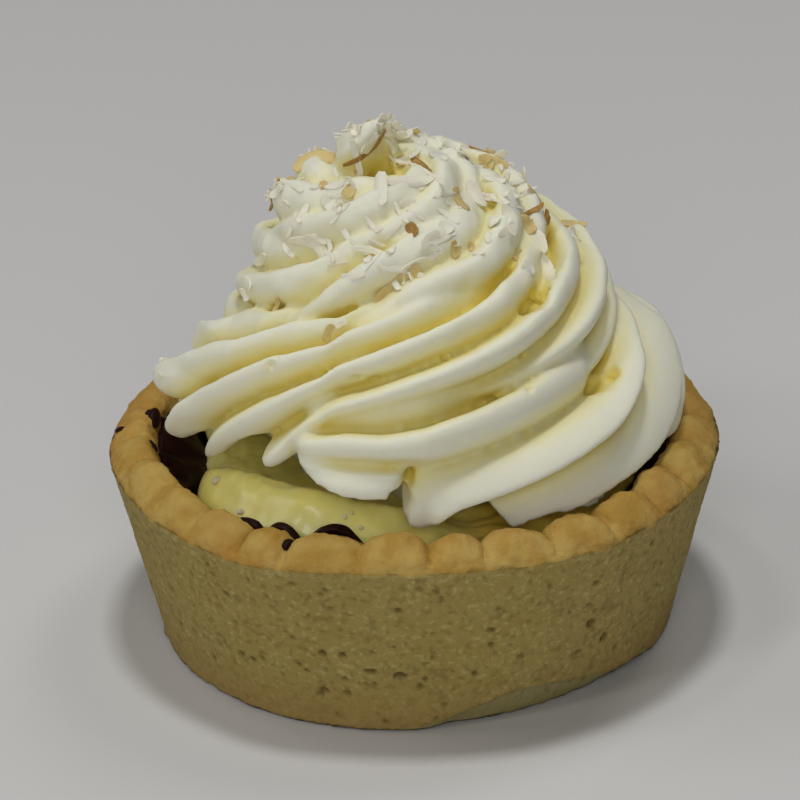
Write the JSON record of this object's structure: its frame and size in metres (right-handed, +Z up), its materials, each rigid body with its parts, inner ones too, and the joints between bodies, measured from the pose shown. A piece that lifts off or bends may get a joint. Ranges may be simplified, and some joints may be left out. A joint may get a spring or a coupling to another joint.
{
  "type": "mini coconut cream pie",
  "caption": "Round shortcrust tartlet with a scalloped rim, dark chocolate lining and custard, topped by a tall piped spiral of whipped cream with coconut shreds.",
  "frame": {"origin": "centre of the pie's base, on the surface it stands on", "axes": "+Z up through the pie, -Y towards the front where the rope of cream starts, +X to the right"},
  "size_m": [0.0805, 0.08, 0.0711],
  "materials": {
    "baked_crust": "dry baked pastry, pale and pitted at the wall, golden at the rim",
    "dark_chocolate": "dark chocolate, glossy",
    "custard": "soft moist custard, lumpy and glossy",
    "whipped_cream": "whipped cream, satin, with white and toasted coconut shreds"
  },
  "bodies": {
    "root": {"crust": "baked_crust", "chocolate_lining": "dark_chocolate", "custard": "custard", "whipped_cream": "whipped_cream"}
  },
  "joints": []
}
